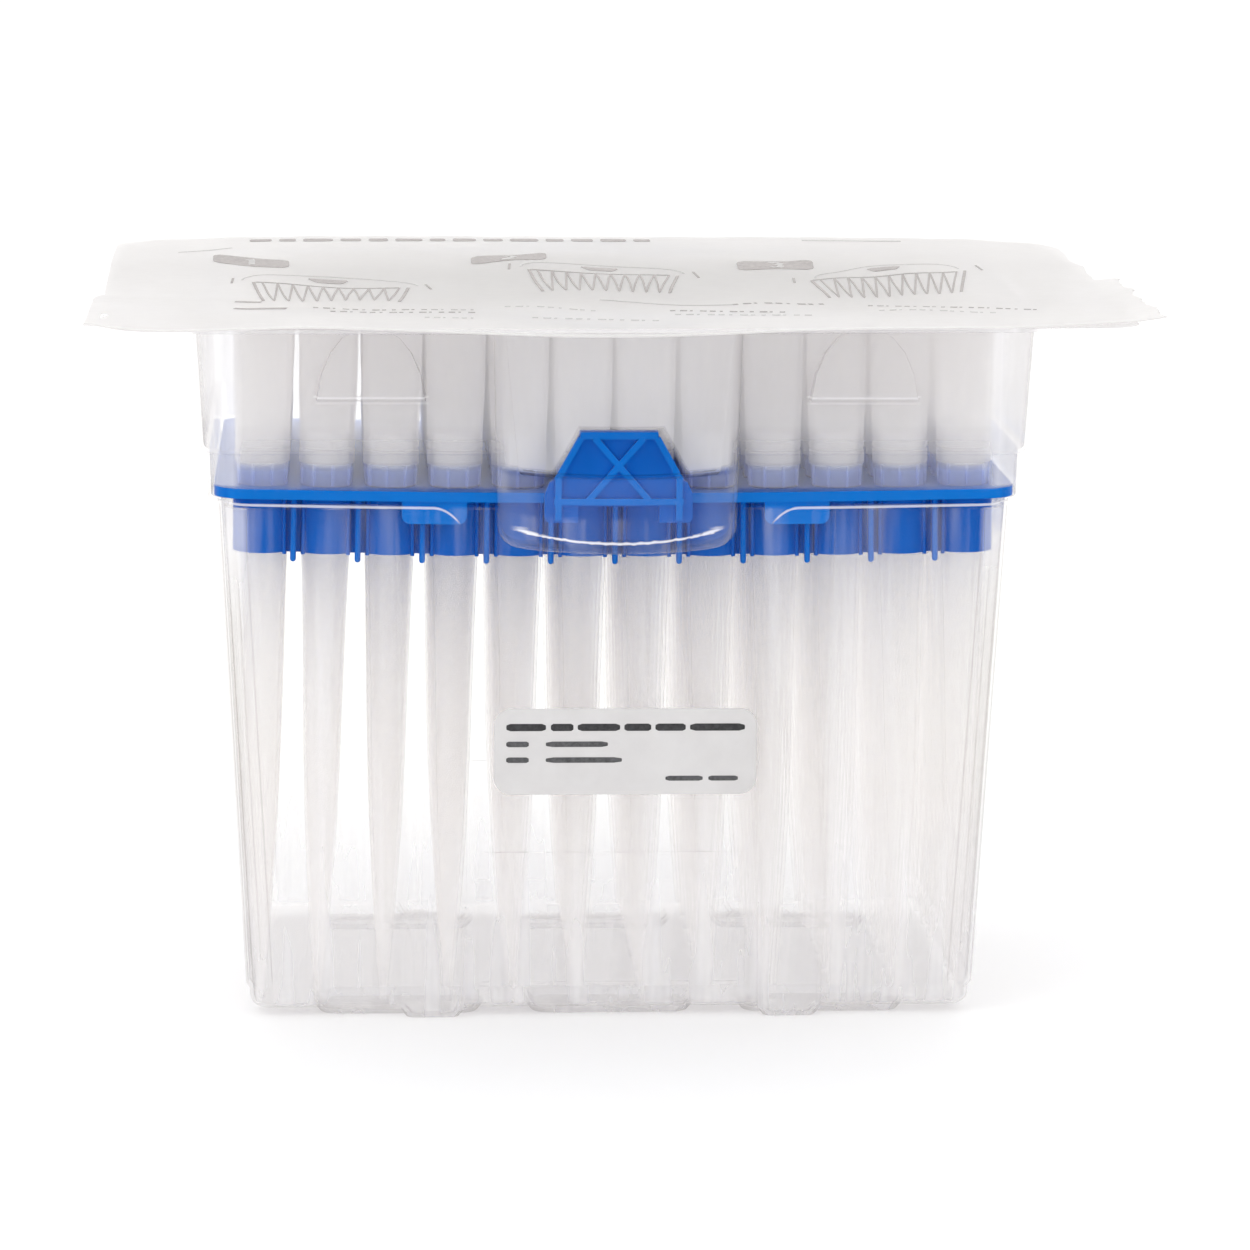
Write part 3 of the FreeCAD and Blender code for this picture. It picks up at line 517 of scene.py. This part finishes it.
def lid_grid(nu, nv):
    """Plan positions over the sheet: close rows at the front and back, with rounded or torn ends."""
    v = 0.5 - 0.5 * np.cos(np.linspace(0, math.pi, nv))
    v = 0.55 * v + 0.45 * np.linspace(0, 1, nv)
    y = -55.8 + 111.6 * v
    left, right = reading(LEFT, y), reading(RIGHT, y)
    torn = ease(30 - y, 0, 8)
    right = right + torn * (0.16 * np.sin(y * 2.9) + 0.12 * np.sin(y * 5.3 + 1.0) + 0.08 * np.sin(y * 11.0 + 2.0))
    left = left + 0.05 * np.sin(y * 1.7)

    def corner(r, d):
        d = np.clip(d, 0, r)
        return r - np.sqrt(np.clip(r * r - (r - d) ** 2, 0, None))

    left = left + corner(RADII["fl"], y + 55.8) + corner(RADII["bl"], 55.8 - y)
    right = right - corner(RADII["fr"], y + 55.8) - corner(RADII["br"], 55.8 - y)
    u = 0.5 - 0.5 * np.cos(np.linspace(0, math.pi, nu))
    u = 0.35 * u + 0.65 * np.linspace(0, 1, nu)
    X = left[:, None] + (right - left)[:, None] * u[None, :]
    Y = np.repeat(y[:, None], nu, 1)
    return X, Y


class Sheet:
    """Collects faces of several finishes into one mesh."""

    def __init__(self):
        self.v, self.f, self.s = [], [], []

    def add(self, verts, faces, slot):
        b = len(self.v)
        self.v += [tuple(p) for p in verts]
        self.f += [tuple(b + i for i in f) for f in faces]
        self.s += [slot] * len(faces)


LID_T = 0.2


def on_lid(x, y, lift=0.035):
    return lid_height(x, y) + LID_T + lift


def ribbon(sheet, points, width, slot, lift=0.035, step=0.8, surface=on_lid, thick=0.02):
    """A printed line of even width along a run of points, as a thin closed strip on the surface."""
    p = np.array(points, dtype=float)
    run = [p[0]]
    for a, b in zip(p[:-1], p[1:]):
        n = max(1, int(np.ceil(np.linalg.norm(b - a) / step)))
        run += [a + (b - a) * (i + 1) / n for i in range(n)]
    run = np.array(run)
    d = np.gradient(run, axis=0)
    d /= np.linalg.norm(d, axis=1)[:, None] + 1e-9
    side = np.stack([-d[:, 1], d[:, 0]], 1) * width / 2
    a, b = run - side, run + side
    k = len(run)
    rows = []
    for q in (a, b):
        for t in (0.0, thick):
            rows.append(np.stack([q[:, 0], q[:, 1], surface(q[:, 0], q[:, 1], lift) + t], 1))
    a0, a1, b0, b1 = range(4)
    at = lambda r, i: r * k + i
    f = []
    for i in range(k - 1):
        for r, s in ((a1, b1), (b1, b0), (b0, a0), (a0, a1)):
            f.append((at(r, i), at(r, i + 1), at(s, i + 1), at(s, i)))
    f.append((at(a0, 0), at(a1, 0), at(b1, 0), at(b0, 0)))
    f.append((at(a0, k - 1), at(b0, k - 1), at(b1, k - 1), at(a1, k - 1)))
    sheet.add(np.concatenate(rows), f, slot)


def patch(sheet, corners, slot, lift=0.035, nu=14, nv=8, round_off=0.16, surface=on_lid, thick=0.02):
    """A printed four-cornered field with rounded ends, as a thin closed plate on the surface.
    Corners run: front left, front right, back right, back left."""
    c = np.array(corners, dtype=float)
    v = np.linspace(0, 1, nv)
    e = np.clip(np.minimum(v, 1 - v) / round_off, 0, 1)
    inset = (1 - np.sqrt(np.clip(1 - (1 - e) ** 2, 0, 1))) * round_off * 0.35
    P = []
    for vi, ins in zip(v, inset):
        u = ins + (1 - 2 * ins) * np.linspace(0, 1, nu)
        a, b = c[0] * (1 - vi) + c[3] * vi, c[1] * (1 - vi) + c[2] * vi
        P.append(a[None] * (1 - u[:, None]) + b[None] * u[:, None])
    P = np.array(P)
    X, Y = P[..., 0], P[..., 1]
    z = surface(X, Y, lift)
    n = nu * nv
    V = np.concatenate([np.stack([X, Y, z + thick], 2).reshape(-1, 3), np.stack([X, Y, z], 2).reshape(-1, 3)])
    f = []
    for i in range(nv - 1):
        for j in range(nu - 1):
            q = (i * nu + j, i * nu + j + 1, (i + 1) * nu + j + 1, (i + 1) * nu + j)
            f += [q, tuple(n + m for m in q[::-1])]
    rim = ([j for j in range(nu)] + [i * nu + nu - 1 for i in range(1, nv)]
           + [(nv - 1) * nu + j for j in range(nu - 2, -1, -1)] + [i * nu for i in range(nv - 2, 0, -1)])
    for a, b in zip(rim, rim[1:] + rim[:1]):
        f.append((a, a + n, b + n, b))
    sheet.add(V, f, slot)


DIGITS = {1: [[(-0.5, 0.45), (0.1, 1), (0.1, -1)]],
          2: [[(-0.6, 0.6), (-0.3, 0.95), (0.3, 0.95), (0.6, 0.55), (0.45, 0.1), (-0.6, -1), (0.65, -1)]],
          3: [[(-0.6, 0.75), (-0.2, 1), (0.35, 0.95), (0.6, 0.55), (0.35, 0.1), (-0.1, 0.05)],
              [(-0.1, 0.05), (0.4, 0.0), (0.65, -0.45), (0.35, -0.95), (-0.2, -1), (-0.6, -0.75)]]}


def lid():
    nu, nv = 196, 132
    X, Y = lid_grid(nu, nv)
    low = lid_height(X, Y)
    top = low + LID_T
    n = nu * nv
    V = np.concatenate([np.stack([X, Y, top], 2).reshape(-1, 3), np.stack([X, Y, low], 2).reshape(-1, 3)])
    f = []
    for i in range(nv - 1):
        for j in range(nu - 1):
            q = (i * nu + j, i * nu + j + 1, (i + 1) * nu + j + 1, (i + 1) * nu + j)
            f += [q, tuple(n + m for m in q[::-1])]
    rim = ([j for j in range(nu)] + [i * nu + nu - 1 for i in range(1, nv)]
           + [(nv - 1) * nu + j for j in range(nu - 2, -1, -1)] + [i * nu for i in range(nv - 2, 0, -1)])
    for a, b in zip(rim, rim[1:] + rim[:1]):
        f.append((a, a + n, b + n, b))
    sheet = Sheet()
    sheet.add(V, f, 0)
    printing(sheet)
    me = mesh_of("lid_sheet", np.array(sheet.v), sheet.f, sheet.s, sharp=40.0)
    piece("lid_sheet", me, [PAPER, LID_INK, LID_PALE], "lid_paper", "lid")


def printing(sheet):
    """Generic printing: three numbered plates, three toothed rows and some fine lines."""
    plates = {1: [(-57.5, 22.9), (-46.0, 13.6), (-46.1, 24.2), (-57.6, 33.0)],
              2: [(-18.9, 19.9), (-7.4, 25.1), (-7.1, 34.0), (-18.7, 28.4)],
              3: [(20.6, 12.0), (32.3, 16.2), (32.9, 26.0), (21.0, 21.6)]}
    for k, q in plates.items():
        patch(sheet, q, 1, nu=16, nv=10, round_off=0.25)
        q = np.array(q)
        mid = q.mean(0)
        ex, ey = (q[1] - q[0]) / 2, (q[3] - q[0]) / 2
        for stroke in DIGITS[k]:
            ribbon(sheet, [mid + ex * a * 0.24 + ey * b * 0.62 for a, b in stroke], 0.95, 0, lift=0.075)
    teeth = [((-50.3, -4.4), (-29.4, -8.6), (-49.3, -25.3), (-30.2, -24.6), 9),
             ((-9.8, 12.4), (10.3, 3.4), (-9.4, -12.6), (8.6, -16.2), 9),
             ((31.3, 1.0), (53.9, 13.6), (31.2, -20.8), (51.4, -9.4), 10)]
    for a, b, c, d, n in teeth:
        a, b, c, d = map(np.array, (a, b, c, d))
        run = []
        for i in range(2 * n + 1):
            f = (i + 0.5) / (2 * n + 1)
            run.append((a + (b - a) * f) if i % 2 == 0 else (c + (d - c) * f))
        ribbon(sheet, run, 0.30, 1)
        ribbon(sheet, [a - (b - a) * 0.02, a + (b - a) * 0.97], 0.55, 1)
        ribbon(sheet, [a - (b - a) * 0.035, c], 0.46, 1)
        ribbon(sheet, [b + (b - a) * 0.035, d], 0.46, 1)
        across, along = (b - a) / np.linalg.norm(b - a), (a - c) / np.linalg.norm(a - c)
        mid = (a + b) / 2 + along * 7.0
        w = 3.2
        patch(sheet, [mid - across * w * 0.62 - along * 1.9, mid + across * w * 0.62 - along * 1.9,
                      mid + across * w + along * 1.9, mid - across * w + along * 1.9], 1, nu=8, nv=6)
        arc = [(a + b) / 2 + across * 13.0 * math.cos(t) + along * (2.0 + 9.5 * math.sin(t)) for t in np.linspace(0.05, math.pi - 0.05, 15)]
        ribbon(sheet, arc, 0.32, 2)
        for e, s in ((a, -1), (b, 1)):
            p = e + across * s * 3.6 + along * 5.0
            ribbon(sheet, [p, p + across * s * 0.4 - along * 6.0], 0.36, 1)
    # a heading of plain bars along the back edge
    x = -52.4
    for w in (3.4, 2.6, 4.6, 3.2, 3.0, 4.2, 2.4, 3.6, 3.0, 4.4, 2.8, 3.4, 4.0, 2.6, 3.2):
        if x + w > 11.5:
            break
        patch(sheet, [(x, 48.9), (x + w, 48.9), (x + w, 51.9), (x, 51.9)], 1, nu=6, nv=5)
        x += w + 1.15
    ribbon(sheet, [(33.5, 51.2), (49.0, 50.9)], 1.1, 2)
    # short bars and rows of fine dashes near the front edge
    for p, q, w in (((-53.3, -25.6), (-49.6, -26.6), 0.9), ((-53.3, -32.4), (-46.0, -34.8), 1.2)):
        ribbon(sheet, [p, q], w, 1)
    rows = [((-42.3, -33.9), (-19.0, -34.0), 17, 1), ((-39.9, -37.0), (-19.4, -37.4), 15, 1), ((-26.9, -42.6), (-19.3, -42.9), 6, 2),
            ((-15.5, -31.6), (-2.0, -33.6), 9, 2), ((16.6, -29.7), (30.7, -26.3), 9, 1), ((7.5, -34.9), (24.1, -36.6), 12, 1),
            ((8.0, -38.6), (27.4, -40.1), 13, 2), ((35.9, -28.5), (60.0, -33.5), 19, 1), ((36.9, -34.4), (53.6, -37.2), 12, 2),
            ((-12.0, -41.8), (6.0, -44.6), 12, 2)]
    for a, b, n, slot in rows:
        a, b = np.array(a), np.array(b)
        for i in range(n):
            k = 0.52 + 0.26 * math.sin(i * 2.3)
            ribbon(sheet, [a + (b - a) * i / n, a + (b - a) * (i + k) / n], 0.75, slot, step=2.0)
    ribbon(sheet, [(-1.8, -24.2), (8.0, -27.6), (16.6, -29.7)], 0.5, 2)
    ribbon(sheet, [(-63.0, 36.0), (-58.5, 38.0), (-55.0, 41.0)], 0.35, 2)


# ---------------------------------------------------------------- label on the front wall
def label():
    lo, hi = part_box("front_label")
    lo, hi = np.array(lo) / MM, np.array(hi) / MM
    cx = (lo[0] + hi[0]) / 2
    cz = (lo[2] + hi[2]) / 2
    slope = math.atan2(37.2 - 33.8, 75.03 - 4.6)

    def wall_y(z):
        return -(33.8 + (37.2 - 33.8) * (z - 4.6) / (75.03 - 4.6)) - 0.005

    W, H, R, T = 37.3, 12.5, 2.5, 0.12

    def surface(u, w, lift=0.0):
        return np.full(np.shape(u), T) + lift

    s = Sheet()
    # outline of the sticker as rings shrinking to the middle, so its edge is softly rounded
    k = 64
    ring = []
    for q, (sx, sy) in enumerate(((1, -1), (1, 1), (-1, 1), (-1, -1))):
        for a in np.linspace(-90 + 90 * q, 90 * q, k // 4):
            ring.append((sx * (W / 2 - R) + R * math.cos(math.radians(a)), sy * (H / 2 - R) + R * math.sin(math.radians(a))))
    ring = np.array(ring)
    k = len(ring)
    V, f = [], []
    levels = [(1.0, 0.0, 0.0), (1.0, 0.0, T - 0.04), (1.0, 0.05, T), (0.985, 0.05, T)]
    for scale, inset, z in levels:
        p = ring * scale
        p = p - np.sign(p) * inset
        V += [(a, b, z) for a, b in p]
    for l in range(len(levels) - 1):
        for i in range(k):
            j = (i + 1) % k
            f.append((l * k + i, l * k + j, (l + 1) * k + j, (l + 1) * k + i))
    f.append(tuple(range((len(levels) - 1) * k, len(levels) * k)))
    f.append(tuple(range(k - 1, -1, -1)))
    s.add(V, f, 0)

    def bar(x0, x1, y, h, slot):
        patch(s, [(x0, y - h / 2), (x1, y - h / 2), (x1, y + h / 2), (x0, y + h / 2)], slot, lift=0.004,
              nu=6, nv=6, round_off=0.3, surface=surface, thick=0.012)

    for a, b in ((-16.9, -11.3), (-10.6, -7.4), (-6.8, -0.8), (-0.2, 3.6), (4.2, 8.5), (9.1, 16.9)):
        bar(a, b, 3.55, 1.05, 1)
    for row, segs in ((1.1, ((-16.9, -13.7), (-11.3, -2.5))), (-1.2, ((-16.9, -13.7), (-11.3, -0.5))), (-3.9, ((5.7, 11.0), (11.8, 16.0)))):
        for a, b in segs:
            bar(a, b, row, 0.80 if row > -3 else 0.72, 2)
    v = np.array(s.v)
    cs, sn = math.cos(slope), math.sin(slope)
    y0 = wall_y(cz)
    out = np.stack([cx + v[:, 0], y0 - v[:, 2] * cs - v[:, 1] * sn, cz + v[:, 1] * cs - v[:, 2] * sn], 1)
    me = mesh_of("label_sticker", out, s.f, s.s, sharp=40.0)
    piece("label_sticker", me, [FILM, LABEL_INK, LABEL_PALE], "label_film", "front_label")


tray()
tips()
lid()
label()
for name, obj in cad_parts.items():
    kind = (NATURAL if name.startswith("tips") else PLUG if name.startswith("filters") else
            {"tray": CLEAR, "lid": PAPER, "front_label": FILM, "tip_rack": BLUE}[name])
    for i in range(len(obj.material_slots)):
        obj.material_slots[i].material = kind


# ================================================================ stage, light and camera
def floor():
    me = bpy.data.meshes.new("floor")
    me.from_pydata([(-8, -4, 0), (8, -4, 0), (8, 20, 0), (-8, 20, 0)], [], [(0, 1, 2, 3)])
    o = bpy.data.objects.new("floor", me)
    scene.collection.objects.link(o)
    t = Tree("floor_paper")
    faint = t.noise(3.0, 2.0)
    p = t.node("BsdfPrincipled", {"Base Color": t.ramp(faint, [(0.3, (0.935, 0.935, 0.935)), (0.7, (0.945, 0.945, 0.945))]),
                                  "Roughness": 0.95, "Specular IOR Level": 0.0}).outputs[0]
    me.materials.append(t.finish(p))


floor()
world = bpy.data.worlds.new("studio")
scene.world = world
world.use_nodes = True
wn = world.node_tree
wn.nodes["Background"].inputs["Color"].default_value = (1.0, 0.998, 0.995, 1)
# a softly lit white room, brighter behind the object than in front of it
way = wn.nodes.new("ShaderNodeTexCoord")
axes = wn.nodes.new("ShaderNodeSeparateXYZ")
glow = wn.nodes.new("ShaderNodeMapRange")
glow.inputs["From Min"].default_value, glow.inputs["From Max"].default_value = -1.0, 1.0
glow.inputs["To Min"].default_value, glow.inputs["To Max"].default_value = 0.92, 1.45
wn.links.new(way.outputs["Generated"], axes.inputs[0])
wn.links.new(axes.outputs["Y"], glow.inputs["Value"])
wn.links.new(glow.outputs["Result"], wn.nodes["Background"].inputs["Strength"])


def lamp(name, place, aim, size, power, colour=(1, 1, 1)):
    d = bpy.data.lights.new(name, "AREA")
    d.shape, d.size, d.size_y, d.energy, d.color = "RECTANGLE", size[0], size[1], power, colour
    o = bpy.data.objects.new(name, d)
    o.location = place
    o.rotation_euler = (Vector(aim) - Vector(place)).to_track_quat("-Z", "Y").to_euler()
    scene.collection.objects.link(o)


lamp("key", (-0.55, -0.55, 0.65), (0, 0, 0.06), (0.5, 0.5), 1.2)
lamp("back", (0.1, 0.9, 0.5), (0, 0, 0.05), (0.9, 0.4), 1.2)

cam_data = bpy.data.cameras.new("camera")
cam_data.sensor_width = 36.0
cam_data.lens = 5265.31 * 36.0 / 1250.0
cam_data.clip_start, cam_data.clip_end = 0.05, 60.0
camera = bpy.data.objects.new("camera", cam_data)
scene.collection.objects.link(camera)
yaw, pitch, roll = 0.0561, 0.1700, 0.0077
fwd = Vector((math.sin(yaw) * math.cos(pitch), math.cos(yaw) * math.cos(pitch), -math.sin(pitch)))
right = Vector((math.cos(yaw), -math.sin(yaw), 0.0))
up = right.cross(fwd)
r2 = math.cos(roll) * right + math.sin(roll) * up
u2 = -math.sin(roll) * right + math.cos(roll) * up
camera.matrix_world = Matrix((
    (r2.x, u2.x, -fwd.x, -0.03953),
    (r2.y, u2.y, -fwd.y, -0.76595),
    (r2.z, u2.z, -fwd.z, 0.18270),
    (0, 0, 0, 1)))
scene.camera = camera

scene.view_settings.view_transform = "Standard"
scene.view_settings.look = "None"
scene.cycles.transparent_max_bounces = 128
scene.cycles.max_bounces = 20
scene.cycles.diffuse_bounces = 12
scene.cycles.glossy_bounces = 4
scene.cycles.transmission_bounces = 8
